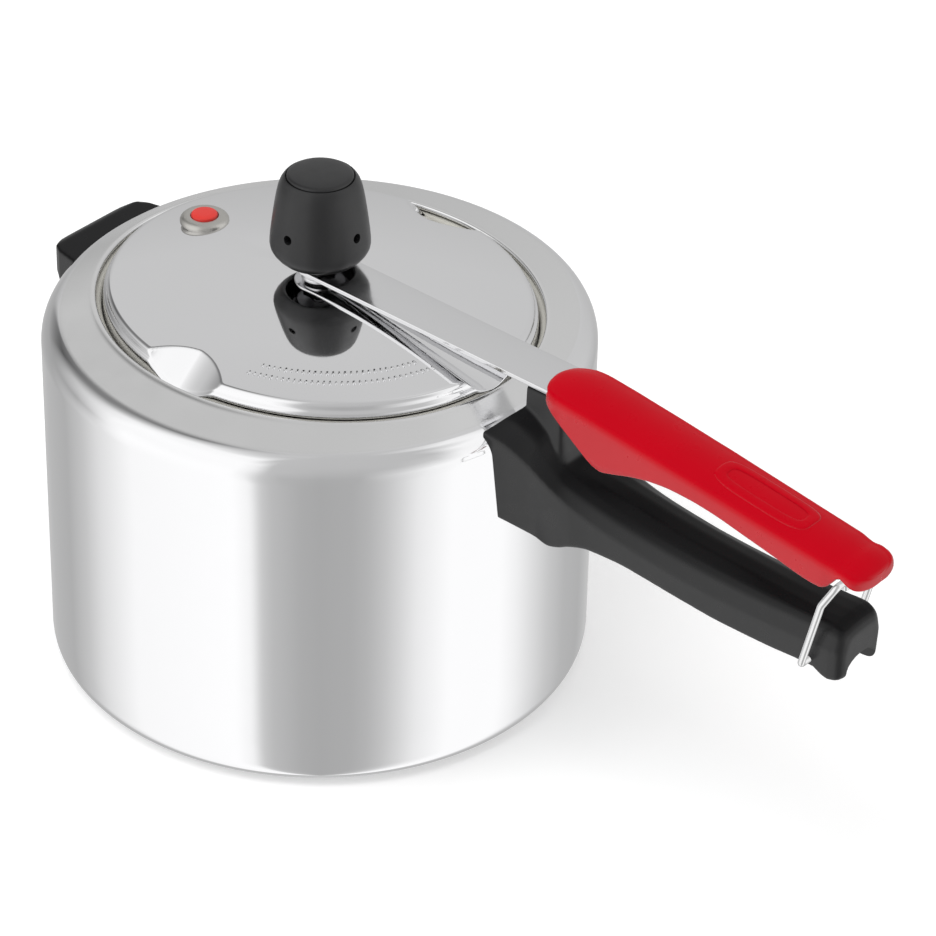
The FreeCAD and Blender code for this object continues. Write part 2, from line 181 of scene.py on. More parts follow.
def boolean(ob, cutters, kind="DIFFERENCE"):
    for c in cutters:
        m = ob.modifiers.new("cut", "BOOLEAN")
        m.operation = kind
        m.solver = "EXACT"
        m.object = c
    applyModifiers(ob)
    for c in cutters:
        bpy.data.objects.remove(c)
    return ob


def box(name, lo, hi):
    x0, y0, z0 = lo
    x1, y1, z1 = hi
    v = [(x0, y0, z0), (x1, y0, z0), (x1, y1, z0), (x0, y1, z0), (x0, y0, z1), (x1, y0, z1), (x1, y1, z1),
         (x0, y1, z1)]
    f = [(0, 3, 2, 1), (4, 5, 6, 7), (0, 1, 5, 4), (1, 2, 6, 5), (2, 3, 7, 6), (3, 0, 4, 7)]
    return addMesh(name, v, f, False)


def rod(name, a, b, r, seg=32):
    return tube(name, [Vector(a), Vector(b)], r, seg)


def node(tree, kind, settings=None, links=None):
    n = tree.nodes.new(kind)
    for key, value in (settings or {}).items():
        if key in n.inputs:
            n.inputs[key].default_value = value
        else:
            setattr(n, key, value)
    for key, source in (links or {}).items():
        tree.links.new(source, n.inputs[key])
    return n


# spec: colour, metal, rough, and where wanted grain (size, depth), wear (size, low, high), tint, brush, and
# painted shade and sheen by facing (low, high)
def surface(name, spec):
    m = bpy.data.materials.new(name)
    m.use_nodes = True
    t = m.node_tree
    t.nodes.clear()
    out = node(t, "ShaderNodeOutputMaterial")
    b = node(t, "ShaderNodeBsdfPrincipled")
    b.inputs["Metallic"].default_value = spec.get("metal", 0.0)
    b.inputs["Roughness"].default_value = spec["rough"]
    b.inputs["Base Color"].default_value = linear(spec["colour"])
    t.links.new(b.outputs[0], out.inputs[0])
    co = node(t, "ShaderNodeTexCoord").outputs["Object"]
    if "stretch" in spec:
        mp = node(t, "ShaderNodeMapping", None, {"Vector": co})
        mp.inputs["Scale"].default_value = spec["stretch"]
        co = mp.outputs[0]
    if "wear" in spec:
        size, low, high = spec["wear"]
        n = node(t, "ShaderNodeTexNoise", {"Scale": 1000 / size, "Detail": 4.0}, {"Vector": co})
        r = node(t, "ShaderNodeMapRange", {"From Min": 0.3, "From Max": 0.7, "To Min": low, "To Max": high},
                 {"Value": n.outputs[0]})
        t.links.new(r.outputs[0], b.inputs["Roughness"])
    if "crown" in spec:  # painted shade and sheen: specular dimmed on faces that look up, standing in for shade, and raised on upright faces, standing in for reflected light
        low, high = spec["crown"]
        facing = node(t, "ShaderNodeTexCoord").outputs["Normal"]
        g = node(t, "ShaderNodeSeparateXYZ", None, {"Vector": facing})
        r = node(t, "ShaderNodeMapRange", {"From Min": 0.25, "From Max": 0.75, "To Min": high, "To Max": low},
                 {"Value": g.outputs[2]})
        t.links.new(r.outputs[0], b.inputs["Specular IOR Level"])
    if "tint" in spec:
        size, code = spec["tint"]
        n = node(t, "ShaderNodeTexNoise", {"Scale": 1000 / size, "Detail": 3.0}, {"Vector": co})
        mix = node(t, "ShaderNodeMix", {"data_type": "RGBA"})
        t.links.new(n.outputs[0], mix.inputs[0])
        mix.inputs[6].default_value = linear(spec["colour"])
        mix.inputs[7].default_value = linear(code)
        t.links.new(mix.outputs[2], b.inputs["Base Color"])
    if "grain" in spec:
        size, depth = spec["grain"]
        n = node(t, "ShaderNodeTexNoise", {"Scale": 1000 / size, "Detail": 2.0}, {"Vector": co})
        bump = node(t, "ShaderNodeBump", {"Strength": 1.0, "Distance": depth * mm}, {"Height": n.outputs[0]})
        t.links.new(bump.outputs[0], b.inputs["Normal"])
    if "brush" in spec:  # fine turned rings about the pot's axis
        pitch, depth = spec["brush"]
        xyz = node(t, "ShaderNodeSeparateXYZ", None, {"Vector": co})
        xx = node(t, "ShaderNodeMath", {"operation": "MULTIPLY"}, {0: xyz.outputs[0], 1: xyz.outputs[0]})
        yy = node(t, "ShaderNodeMath", {"operation": "MULTIPLY"}, {0: xyz.outputs[1], 1: xyz.outputs[1]})
        rr = node(t, "ShaderNodeMath", {"operation": "ADD"}, {0: xx.outputs[0], 1: yy.outputs[0]})
        r = node(t, "ShaderNodeMath", {"operation": "SQRT"}, {0: rr.outputs[0]})
        v = node(t, "ShaderNodeCombineXYZ", None, {0: r.outputs[0], 2: xyz.outputs[2]})
        n = node(t, "ShaderNodeTexNoise", {"Scale": 1000 / pitch, "Detail": 3.0}, {"Vector": v.outputs[0]})
        bump = node(t, "ShaderNodeBump", {"Strength": 1.0, "Distance": depth * mm}, {"Height": n.outputs[0]})
        t.links.new(bump.outputs[0], b.inputs["Normal"])
    return m


# sizes in millimetres, colours as sRGB hex
looks = {
    # drawn aluminium, machine polished: nearly a mirror, faintly cloudy
    "polishedAluminium": {"colour": "F4F4F5", "metal": 1.0, "rough": 0.07, "wear": (9.0, 0.05, 0.09)},
    # the sloping ring, only buffed: soft reflections
    "buffedAluminium": {"colour": "F1F1F1", "metal": 1.0, "rough": 0.16, "wear": (14.0, 0.13, 0.19)},
    # turned inside: fine rings, drawn coarse enough to show
    "turnedAluminium": {"colour": "DEDEDF", "metal": 1.0, "rough": 0.34, "brush": (0.35, 0.02)},
    # the lid, polished longest: sharp mirror
    "mirrorAluminium": {"colour": "F2F2F3", "metal": 1.0, "rough": 0.045, "wear": (11.0, 0.03, 0.06)},
    # cast seat, tumbled: warm grey sheen
    "satinAluminium": {"colour": "C9C7C2", "metal": 1.0, "rough": 0.36, "wear": (3.0, 0.30, 0.42)},
    # rolled stainless strip, polished along its length
    "rolledSteel": {"colour": "E9E9EA", "metal": 1.0, "rough": 0.12, "stretch": (0.05, 1.0, 1.0),
                    "wear": (0.8, 0.08, 0.18)},
    # drawn and plated wire: bright line of light
    "platedWire": {"colour": "EDEDED", "metal": 1.0, "rough": 0.14, "wear": (4.0, 0.10, 0.18)},
    # stamped plain steel: grey and matt
    "plainSteel": {"colour": "B9B9BB", "metal": 1.0, "rough": 0.32, "wear": (2.0, 0.26, 0.40)},
    # turned core of the weight: dark steel
    "darkSteel": {"colour": "6E6E70", "metal": 1.0, "rough": 0.4, "wear": (3.0, 0.34, 0.46)},
    # moulded phenolic, with light painted through the specular: dimmed on top as painted shade, raised on
    # upright faces as a painted sheen
    "blackPhenolic": {"colour": "131314", "rough": 0.3, "grain": (0.9, 0.004), "wear": (6.0, 0.26, 0.34),
                      "crown": (0.1, 0.5)},
    # moulded cover of the weight: even satin
    "blackSatin": {"colour": "1E1E1F", "rough": 0.34, "grain": (0.7, 0.004), "wear": (5.0, 0.30, 0.38)},
    # red phenolic: deep colour, faintly uneven; its specular is painted by facing, dimmed on the crown as
    # painted shade and raised on the skirt as a painted sheen
    "redPhenolic": {"colour": "B90016", "rough": 0.3, "tint": (22.0, "C00218"), "wear": (7.0, 0.26, 0.34),
                    "grain": (1.2, 0.003), "crown": (0.06, 0.5)},
    # moulded rubber: matt and pale
    "greyRubber": {"colour": "C9C7BF", "rough": 0.6, "grain": (0.6, 0.02)},
    # silicone button: bright, slightly shiny
    "redRubber": {"colour": "D9332B", "rough": 0.42, "grain": (0.8, 0.01)},
}
mats = {k: surface(k, v) for k, v in looks.items()}


def dress(ob, look):
    ob.data.materials.clear()
    ob.data.materials.append(mats[look])
    return ob


# give a finished piece its look, its body and the solids it stands for
def place(ob, look, body, nodes=()):
    if look:
        dress(ob, look)
    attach(ob, body)
    if nodes:
        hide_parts(*nodes)
    return ob


pot = {"radius": 102.0, "wall": 2.0, "bottom": 3.0, "cornerRadius": 8.6, "shoulderHeight": 131.9,
       "shoulderRadius": 10.5, "rimHeight": 146.0, "mouthHalfLength": 85.7, "mouthHalfWidth": 77.3,
       "rimWidth": 1.6, "segments": 288}
bodyR, wall, cornerR = pot["radius"], pot["wall"], pot["cornerRadius"]
shoulderZ, shoulderR, rimZ = pot["shoulderHeight"], pot["shoulderRadius"], pot["rimHeight"]
mouthA, mouthB, rimW = pot["mouthHalfLength"], pot["mouthHalfWidth"], pot["rimWidth"]


def potStations():
    # shallow recess under the middle, then the ring the pot stands on
    s = [(1e-5, 0.35), (20, 0.35), (50, 0.35), (78, 0.35), (80, 0.3), (81.5, 0.05), (83, 0.0), (88, 0.0)]
    s += arcRow(bodyR - cornerR, cornerR, cornerR, -90, 0, 12)
    s += [(bodyR, z) for z in (20, 40, 60, 80, 100, 120)]
    s += arcRow(bodyR - shoulderR, shoulderZ, shoulderR, 0, 70, 16)
    out = [(r, r, z) for r, z in s]
    r0, z0 = s[-1]
    a1, b1 = mouthA + rimW + 0.6, mouthB + rimW + 0.6
    for i in range(1, 11):  # sloping ring, round outside and oval inside
        f = i / 10
        out.append((r0 + (a1 - r0) * f, r0 + (b1 - r0) * f, z0 + (rimZ - 0.35 - z0) * f))
    lip = ((1.5, 0.07), (1.1, 0.0), (0.7, 0.02), (0.3, 0.25), (0.05, 0.7), (0.0, 1.2), (0.1, 1.8), (0.5, 2.1))
    for dr, down in lip:  # rounded lip of the mouth
        out.append((mouthA + dr, mouthB + dr, rimZ - down))
    cx = bodyR - shoulderR
    inner = arcRow(cx, shoulderZ, shoulderR - wall, 70, 0, 8)
    r0, z0 = inner[0]
    for i in range(0, 6):
        f = i / 6
        a0, b0, top = mouthA + rimW, mouthB + rimW, rimZ - 2.25
        out.append((a0 + (r0 - a0) * f, b0 + (r0 - b0) * f, top + (z0 - top) * f))
    out += [(r, r, z) for r, z in inner]
    out += [(bodyR - wall, bodyR - wall, z) for z in (110, 80, 50, 25)]
    corner = arcRow(bodyR - cornerR, pot["bottom"] + cornerR - wall, cornerR - wall, 0, -90, 8)
    out += [(r, r, z) for r, z in corner]
    out += [(r, r, pot["bottom"]) for r in (80, 50, 20, 1e-5)]
    return out


def makePot():
    ob = ovalLathe("pot_shell", potStations(), pot["segments"])
    for look in ("polishedAluminium", "buffedAluminium", "turnedAluminium"):
        ob.data.materials.append(mats[look])
    z0 = shoulderZ + shoulderR * math.sin(math.radians(70))
    for p in ob.data.polygons:
        c = p.center / mm
        r = math.hypot(c.x, c.y)
        outward = p.normal.dot(Vector((c.x, c.y, 0)).normalized())
        onWall = r < bodyR - wall + 0.3 and 2.0 < c.z < min(143.9, z0) and outward < 0.1
        inside = onWall or (2.0 < c.z < 4.0 and r < 96)
        under = c.z > z0 - 3 and p.normal.z < -0.2
        if inside or under:
            p.material_index = 2
        elif c.z > z0 - 0.01:
            p.material_index = 1
    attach(ob, "pot")
    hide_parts("pot_body")
    return ob


lid = {"halfLength": 80.5, "squash": 0.9, "top": 157.8, "dip": 7.6, "thickness": 1.5, "segments": 576,
       "rows": 108, "scoopTilt": 40.4, "scoopX": -1.5, "scoopRadius": 48.0, "channelStart": -4.0,
       "channelLength": 96.0, "channelRise": 3.0, "channelRadii": (0.6, 18.6)}
lidA, squash, lidTop, dip = lid["halfLength"], lid["squash"], lid["top"], lid["dip"]
scoopTilt, scoopX, scoopR = math.radians(lid["scoopTilt"]), lid["scoopX"], lid["scoopRadius"]


# the larger of v and 0, blended over a width k
def smoothPos(v, k):
    if v >= k:
        return v
    if v <= -k:
        return 0.0
    return (v + k) ** 2 / (4 * k)


# heights of the scoop and the channel at a place, or a large number
def lidCuts(x, y):
    side, sx = abs(y), abs(x - scoopX)
    scoop = channel = 999.0
    if sx < 40 and side > 40:
        floor = 143.1 - (side - 72.45) * math.tan(scoopTilt)
        rise = (scoopR - math.sqrt(scoopR ** 2 - sx * sx)) / math.cos(scoopTilt)
        scoop = max(floor + rise + 0.07 * sx, 141.6)
    along = (x - lid["channelStart"]) / lid["channelLength"]
    r0, r1 = lid["channelRadii"]
    r = r0 + (r1 - r0) * along
    if x > -3.5 and side < r:
        channel = lidTop + 0.1 + lid["channelRise"] * along - math.sqrt(r * r - y * y)
    return scoop, channel


def lidHeight(x, y):
    e = math.hypot(x, y / squash) / lidA
    z = lidTop - dip * e * e
    scoop, channel = lidCuts(x, y)
    z -= smoothPos(z - scoop, 0.15)
    z -= smoothPos(z - channel, 0.22)
    if x < -14:  # shallow crease that fades towards the valve
        w = 3.0 + 0.28 * (-x - 14)
        fade = max(0.0, 1 - (-x - 14) / 34)
        z -= 0.35 * smoothPos(1 - abs(y) / w, 0.2) * fade
    return z


def makeLid():
    seg, rows, crownEdge = lid["segments"], lid["rows"], 79.3
    verts = []
    for rr in [max(i / rows, 1e-6) ** 0.72 * crownEdge for i in range(rows + 1)]:
        for j in range(seg):
            t = 2 * math.pi * j / seg
            x, y = rr * math.cos(t), rr * squash * math.sin(t)
            verts.append((x, y, lidHeight(x, y)))
    # rounded edge and flank; where a scoop or the channel runs out, the flank starts lower
    flank = [(80.1, -0.16), (80.8, -0.5), (81.3, -1.05), (81.5, -1.8), (81.6, -2.5), (82.0, -3.0),
             (82.5, -3.2), (82.8, -3.6), (83.0, -4.4), (83.2, -6.6), (83.3, -9.0), (83.4, -11.0)]
    for rr, dz in flank:
        for j in range(seg):
            t = 2 * math.pi * j / seg
            x, y = rr * math.cos(t), rr * squash * math.sin(t)
            plain = lidTop - dip * (crownEdge / lidA) ** 2 - 0.05 + dz
            z = min(plain, min(lidCuts(x, y)) + 0.02 * dz)
            verts.append((x, y, max(z, 139.0)))
    flange = [(83.6, 138.7), (84.4, 138.6), (88, 138.6), (91.2, 138.6), (91.9, 138.4), (92.2, 137.8),
              (92.2, 136.2), (91.9, 135.8), (91.1, 135.8), (90.7, 136.1), (90.6, 136.8), (90.2, 137.1),
              (86, 137.1), (82.6, 137.2), (81.9, 138.0), (81.8, 140.0)]
    for rr, z in flange:  # flange with its down-turned edge
        for j in range(seg):
            t = 2 * math.pi * j / seg
            verts.append((rr * math.cos(t), rr * squash * math.sin(t), z))
    for rr in [81.0] + [79.0 * (1 - i / 26) for i in range(26)] + [1e-5]:
        for j in range(seg):
            t = 2 * math.pi * j / seg
            x, y = rr * math.cos(t), rr * squash * math.sin(t)
            k = min(1.0, 79.0 / max(rr, 1e-6))
            verts.append((x, y, lidHeight(x * k, y * k) - lid["thickness"] - (3.0 if rr > 80 else 0.0)))
    ob = addMesh("lid_shell", verts, gridFaces(len(verts) // seg, seg), True)
    return place(ob, "mirrorAluminium", "cover", ["lid"])


marks = {"rows": ((63.8, -70, -18), (69.0, -73, -14)), "pitch": 2.1, "smallest": (0.45, 0.9, 0.28),
         "largest": (0.75, 1.35, 0.34), "lift": 0.1, "seed": 5}


# two arcs of small raised bars
def lidMarks():
    data = bpy.data.curves.new("mark_rows", "CURVE")
    data.dimensions = "3D"
    for rr, a0, a1 in marks["rows"]:
        n = 60
        sp = data.splines.new("POLY")
        sp.points.add(n)
        for i in range(n + 1):
            t = math.radians(a0 + (a1 - a0) * i / n)
            x, y = rr * math.cos(t), rr * squash * math.sin(t) * 1.02
            sp.points[i].co = (x * mm, y * mm, (lidHeight(x, y) + marks["lift"]) * mm, 1)
    ob = bpy.data.objects.new("lid_marks", data)
    bpy.context.scene.collection.objects.link(ob)
    g = bpy.data.node_groups.new("marks", "GeometryNodeTree")
    g.interface.new_socket("Geometry", in_out="INPUT", socket_type="NodeSocketGeometry")
    g.interface.new_socket("Geometry", in_out="OUTPUT", socket_type="NodeSocketGeometry")
    sizes = {"Pitch": marks["pitch"] * mm, "Smallest Bar": marks["smallest"], "Largest Bar": marks["largest"]}
    sockets = {}
    for label, value in sizes.items():
        kind = "NodeSocketFloat" if label == "Pitch" else "NodeSocketVector"
        sockets[label] = g.interface.new_socket(label, in_out="INPUT", socket_type=kind)
    gi, go = g.nodes.new("NodeGroupInput"), g.nodes.new("NodeGroupOutput")
    rs = node(g, "GeometryNodeResampleCurve", {"mode": "LENGTH"},
              {"Curve": gi.outputs[0], "Length": gi.outputs[1]})
    bead = node(g, "GeometryNodeMeshIcoSphere", {"Radius": 0.001, "Subdivisions": 3})
    rnd = node(g, "FunctionNodeRandomValue", {"data_type": "FLOAT_VECTOR", "Seed": marks["seed"]})
    g.links.new(gi.outputs[2], rnd.inputs[0])
    g.links.new(gi.outputs[3], rnd.inputs[1])
    tan = node(g, "GeometryNodeInputTangent")
    rot = node(g, "FunctionNodeAlignRotationToVector", {"axis": "X"}, {"Vector": tan.outputs[0]})
    inst = node(g, "GeometryNodeInstanceOnPoints", None,
                {"Points": rs.outputs[0], "Instance": bead.outputs[0], "Rotation": rot.outputs[0],
                 "Scale": rnd.outputs[0]})
    real = node(g, "GeometryNodeRealizeInstances", None, {"Geometry": inst.outputs[0]})
    soft = node(g, "GeometryNodeSetShadeSmooth", None, {"Geometry": real.outputs[0]})
    setM = node(g, "GeometryNodeSetMaterial", {"Material": mats["mirrorAluminium"]},
                {"Geometry": soft.outputs[0]})
    g.links.new(setM.outputs[0], go.inputs[0])
    mod = ob.modifiers.new("marks", "NODES")
    mod.node_group = g
    for label, value in sizes.items():
        mod[sockets[label].identifier] = value
    bpy.context.view_layer.update()
    graph = bpy.context.evaluated_depsgraph_get()
    mesh = bpy.data.meshes.new_from_object(ob.evaluated_get(graph))
    bpy.data.objects.remove(ob)
    ob = bpy.data.objects.new("lid_marks", mesh)
    bpy.context.scene.collection.objects.link(ob)
    return place(ob, None, "cover")


def makeGasket():
    pts = [(83.7, 138.8), (84.2, 138.7), (90.6, 138.7), (91.0, 138.9), (91.2, 139.6), (91.1, 140.8),
           (90.4, 141.5), (89.2, 142.2), (87.2, 143.1), (85.6, 143.3), (84.7, 143.1), (84.0, 142.4),
           (83.7, 141.4)]
    ob = ovalLathe("gasket_ring", [(r, r * squash, z) for r, z in pts], 192, 40, True)
    return place(ob, "greyRubber", "cover", ["lid_gasket"])


strip = {"width": 19.2, "thickness": 1.8, "topAtLid": 162.1, "bend": 113, "topAtBend": 160.0, "fall": 0.137,
         "end": 160, "holeRadius": 6.2}


def stripTop(x):
    drop, bend = strip["topAtLid"] - strip["topAtBend"], strip["bend"]
    if x <= bend:
        return strip["topAtLid"] - drop * x / bend
    return strip["topAtBend"] - (x - bend) * strip["fall"]


def makeStrip():
    half, thick, end = strip["width"] / 2, strip["thickness"], strip["end"]
    outline = []  # round end over the lid, then the straight sides
    for i in range(25):
        t = math.radians(90 + 180 * i / 24)
        outline.append((half * math.cos(t), half * math.sin(t)))
    along = (20, 60, 108, strip["bend"], 118, end)
    outline += [(x, -half) for x in along] + [(x, half) for x in reversed(along)]
    n = len(outline)
    verts = [(x, y, stripTop(x)) for x, y in outline] + [(x, y, stripTop(x) - thick) for x, y in outline]
    faces = [tuple(range(n)), tuple(reversed(range(n, 2 * n)))]
    faces += [(i, n + i, n + (i + 1) % n, (i + 1) % n) for i in range(n)]
    ob = addMesh("lever_strip", verts, faces, False)
    bm = bmesh.new()
    bm.from_mesh(ob.data)
    edges = [e for e in bm.edges if len(e.link_faces) == 2 and e.calc_face_angle(0) > 1.2]
    bmesh.ops.bevel(bm, geom=edges, offset=0.3 * mm, segments=3, profile=0.5, affect="EDGES")
    bmesh.ops.triangulate(bm, faces=[f for f in bm.faces if len(f.verts) > 4])
    bm.to_mesh(ob.data)
    bm.free()
    boolean(ob, [rod("hole", (0, 0, 150), (0, 0, 170), strip["holeRadius"], 48)])
    shade(ob, True, 30)
    return place(ob, "rolledSteel", "lever", ["lid_bar"])


# rows: x, half width, crown height, skirt edge height
upperGrip = {
    "rows": [(110.3, 0.0, 160.0, 156.8), (110.5, 2.8, 160.6, 156.7), (111.2, 5.4, 161.4, 156.5),
             (112.6, 8.3, 162.1, 156.2), (115.4, 11.3, 162.6, 155.5), (119.4, 13.2, 162.8, 153.8),
             (124.0, 13.8, 162.6, 150.9), (128.0, 13.85, 162.2, 148.1), (133.0, 13.85, 161.6, 144.4),
             (138.0, 13.85, 161.0, 141.2), (141.5, 13.85, 160.5, 140.3), (146.0, 13.8, 159.9, 141.3),
             (155.0, 13.8, 158.7, 144.0), (163.0, 13.7, 157.6, 145.6), (171.0, 13.6, 156.5, 146.2),
             (180.0, 13.5, 155.3, 145.8), (188.0, 13.4, 154.1, 144.8), (205.0, 13.2, 151.6, 141.2),
             (218.0, 13.0, 149.7, 138.2), (227.0, 12.9, 148.4, 136.1), (232.0, 12.8, 147.7, 135.3),
             (235.0, 12.8, 147.2, 135.2), (237.4, 12.4, 146.7, 136.2), (239.4, 12.2, 146.3, 138.4),
             (241.0, 12.1, 146.0, 140.6), (242.6, 12.2, 145.9, 141.4), (244.0, 12.3, 145.7, 140.8),
             (246.0, 12.3, 145.2, 139.8), (248.0, 11.5, 144.4, 138.9), (249.4, 9.8, 143.6, 138.4),
             (250.4, 7.2, 142.8, 138.1), (251.0, 4.0, 141.9, 138.1), (251.2, 0.0, 141.2, 138.4)],
    "sag": 2.6, "corner": 3.4, "wall": 3.1, "mouthHalfWidth": 10.1,
    "roof": [(160, 153.6), (213, 146.6), (232, 143.9), (247, 142.4), (250, 142.0)]}
redRows = upperGrip["rows"]


# half of an arched channel section, from the middle of the crown to the skirt and back under the roof
def redSection(w, zc, zb, inner):
    k = min(1.0, w / 12.0)
    sag = upperGrip["sag"] * k
    corner = upperGrip["corner"] * k
    pts = []
    h = max(zc - zb, 0.4)
    drop = min(sag + corner, 0.6 * h)
    wc = w - corner * 0.9
    for i in range(9):
        t = i / 8
        y = wc * t
        pts.append((y, zc - sag * (y / max(w, 1e-6)) ** 2 * 1.15))
    y0, z0 = pts[-1]
    z1 = min(z0 - corner, z0 - 0.3 * h) if h < 6 else z0 - corner * 1.15
    z1 = max(z1, zb + 0.15 * h)
    for i in range(1, 7):
        a = math.radians(90 * i / 6)
        pts.append((y0 + (w - y0) * math.sin(a), z1 + (z0 - z1) * math.cos(a)))
    for i in range(1, 6):
        pts.append((w + 0.12 * i / 5 * k, z1 + (zb + 0.6 - z1) * i / 5))
    thick = min(upperGrip["wall"], 0.45 * w)
    pts += [(w - 0.25 * k, zb + 0.12), (w - 0.8 * k, zb), (w - thick + 0.5 * k, zb), (w - thick, zb + 0.5)]
    roof = max(inner, zb + 0.55)
    half = w - thick
    pts += [(half, 0.5 * (zb + 0.5 + roof)), (half - 0.2 * k, roof - 0.25), (half * 0.8, roof),
            (half * 0.4, roof), (0.0, roof)]
    return pts


def redInner(x):
    if x < 160:
        return stripTop(x) + 0.05
    return spline(upperGrip["roof"], x, 1)


def makeRed():
    ends = [110.35, 110.8, 111.8, 113.8, 117.2, 121.5, 243.4, 247.0, 248.7, 249.9, 250.7, 251.1, 251.17]
    xs = sorted(set([r[0] for r in redRows] + ends + [124 + 1.9 * i for i in range(1, 62)]))
    xs = [x for x in xs if redRows[0][0] <= x <= redRows[-1][0]]
    keep = []
    for x in xs:
        if not keep or x - keep[-1] > 0.09:
            keep.append(x)
    rows = []
    for x in keep:
        w, zc, zb = (spline(redRows, x, k) for k in (1, 2, 3))
        half = redSection(max(w, 0.02), zc, zb, redInner(x))
        right = [(y, z) for y, z in half]
        left = [(-y, z) for y, z in reversed(half[1:-1])]
        rows.append([(x, y, z) for y, z in right + left])
    cols = len(rows[0])
    verts = [v for row in rows for v in row]
    faces = gridFaces(len(rows), cols)
    faces.append(tuple(range(cols)))
    faces.append(tuple(reversed(range((len(rows) - 1) * cols, len(rows) * cols))))
    ob = addMesh("red_grip", verts, faces, True, 42)
    mouth = upperGrip["mouthHalfWidth"]
    ob = boolean(ob, [box("open", (100, -mouth, 140), (124, mouth, 157.95))])
    shade(ob, True, 42)
    ob.visible_glossy = False
    return place(ob, "redPhenolic", "lever", ["upper_handle"])


panel = {"middle": 203.0, "length": 40.0, "halfWidth": 7.6, "points": 64,
         "levels": [(0.0, -0.35), (0.0, 0.05), (0.45, 0.34), (1.0, 0.42), (3.0, 0.42), (3.4, 0.3),
                    (3.9, 0.12)]}


# a plain raised panel on the crown of the grip
def redBadge():
    verts = []
    x0, length, halfW, n = (panel[k] for k in ("middle", "length", "halfWidth", "points"))
    for inset, dz in panel["levels"]:
        for j in range(n):
            t = 2 * math.pi * j / n
            cx, cy = math.cos(t), math.sin(t)
            p = 0.5
            x = x0 + (length / 2 - inset) * math.copysign(abs(cx) ** p, cx)
            y = (halfW - inset) * math.copysign(abs(cy) ** p, cy)
            w, zc = spline(redRows, x, 1), spline(redRows, x, 2)
            z = zc - upperGrip["sag"] * (y / w) ** 2 * 1.15 + dz
            verts.append((x, y, z))
    ob = addMesh("grip_panel", verts, gridFaces(len(panel["levels"]), n), True, 60)
    return place(ob, "redPhenolic", "lever")


wire = {"radius": 1.3, "halfWidth": 16.2, "hook": (242.4, 138.6), "pivot": (232.5, 103.7)}
# rows: x, half width, underside, side edge height, half width of the ridge, ridge height, crown height
# post: height, inner x, outer x, half width, corner radius
lowerGrip = {
    "rows": [(92, 23.4, 106.4, 142.4, 8.6, 150.3, 150.3), (100, 22.6, 104.4, 140.6, 8.6, 149.9, 149.9),
             (104, 21.6, 103.4, 139.3, 8.6, 149.6, 149.6), (114, 19.2, 100.9, 133.0, 8.8, 144.5, 144.5),
             (120, 18.1, 99.6, 128.4, 9.0, 136.2, 136.2), (125, 17.3, 101.0, 125.0, 9.2, 131.2, 131.4),
             (131, 16.5, 104.2, 121.8, 9.6, 128.8, 130.0), (139, 15.5, 105.8, 118.7, 9.9, 126.5, 129.0),
             (150, 14.7, 105.6, 116.0, 9.8, 124.1, 127.6), (165, 13.9, 103.8, 113.4, 9.7, 122.1, 125.6),
             (180, 13.4, 101.9, 111.6, 9.5, 120.7, 124.2), (196, 13.0, 100.5, 110.8, 9.5, 119.9, 123.2),
             (212, 12.7, 100.2, 110.6, 9.5, 119.6, 122.1), (228, 12.6, 100.7, 111.0, 9.5, 119.9, 121.4),
             (234, 12.6, 100.8, 111.4, 9.5, 120.1, 121.3), (237.5, 12.8, 99.2, 111.6, 9.6, 120.3, 121.3),
             (240.5, 12.8, 98.5, 111.7, 9.6, 120.2, 121.2), (243.5, 12.0, 98.9, 111.4, 9.0, 119.2, 120.0),
             (245.2, 10.8, 99.9, 110.9, 8.0, 117.6, 118.2), (246.2, 9.2, 101.3, 110.2, 6.6, 115.6, 116.0)],
    "post": [(112, 96, 128, 12.5, 4.5), (126, 98, 126.2, 12.2, 4.5), (131, 99, 123.6, 11.2, 4.2),
             (136, 100, 122.2, 10.4, 3.6), (142, 101, 121.4, 9.9, 3.0), (149, 102, 121.0, 9.5, 2.6),
             (157.2, 103, 120.8, 9.3, 2.2), (157.7, 103.2, 120.6, 9.1, 2.0),
             (157.85, 103.6, 120.2, 8.7, 1.8)],
    "hollowHalfWidth": 8.3, "hollowDepth": 6.0, "voxel": 0.55, "smoothing": 5, "wireHoleRadius": 1.36}
gripRows = lowerGrip["rows"]


def blackSection(x):
    w, zb, ze, p, zp, zc = (spline(gripRows, x, k) for k in range(1, 7))
    zm = ze + 0.72 * (zp - ze)
    pm = w + 0.45 * (p - w)
    lean = 4.2 if x < 115 else max(0.8, 4.2 - 0.22 * (x - 115))
    shoulder = zp + 0.72 * (zc - zp)
    path = [(0, 0, zb), (0, -(w - lean), zb), (0, -w, ze), (0, -pm, zm), (0, -p, zp),
            (0, -p * 0.55, shoulder), (0, 0, zc), (0, p * 0.55, shoulder), (0, p, zp), (0, pm, zm),
            (0, w, ze), (0, w - lean, zb)]
    soft = rounded(path, [1, 1.4, 1.6, 5.0, 2.2, 4.0, 6.0, 4.0, 2.2, 5.0, 1.6, 1.4], 4, True)
    return [(x, v.y, v.z) for v in soft]


def potCutter(gap):
    s = [(1e-5, 60), (bodyR + gap, 60)] + arcRow(bodyR - shoulderR, shoulderZ, shoulderR + gap, 0, 44, 10)
    s += [(99.3, 141.7), (105.3, 150.0), (105.3, 175.0), (1e-5, 175)]
    return lathe("pot_cut", s, 240)


# post with a flared foot that runs into the block
def postMesh():
    rows = []
    for z, x0, x1, w, r in lowerGrip["post"]:
        path = rounded([(x0, -w, z), (x1, -w, z), (x1, w, z), (x0, w, z)], r, 5, True)
        rows.append([tuple(v) for v in path])
    cols = len(rows[0])
    faces = gridFaces(len(rows), cols)
    faces += [tuple(range(cols)), tuple(reversed(range((len(rows) - 1) * cols, len(rows) * cols)))]
    return addMesh("post", [v for r in rows for v in r], faces, True, 40)


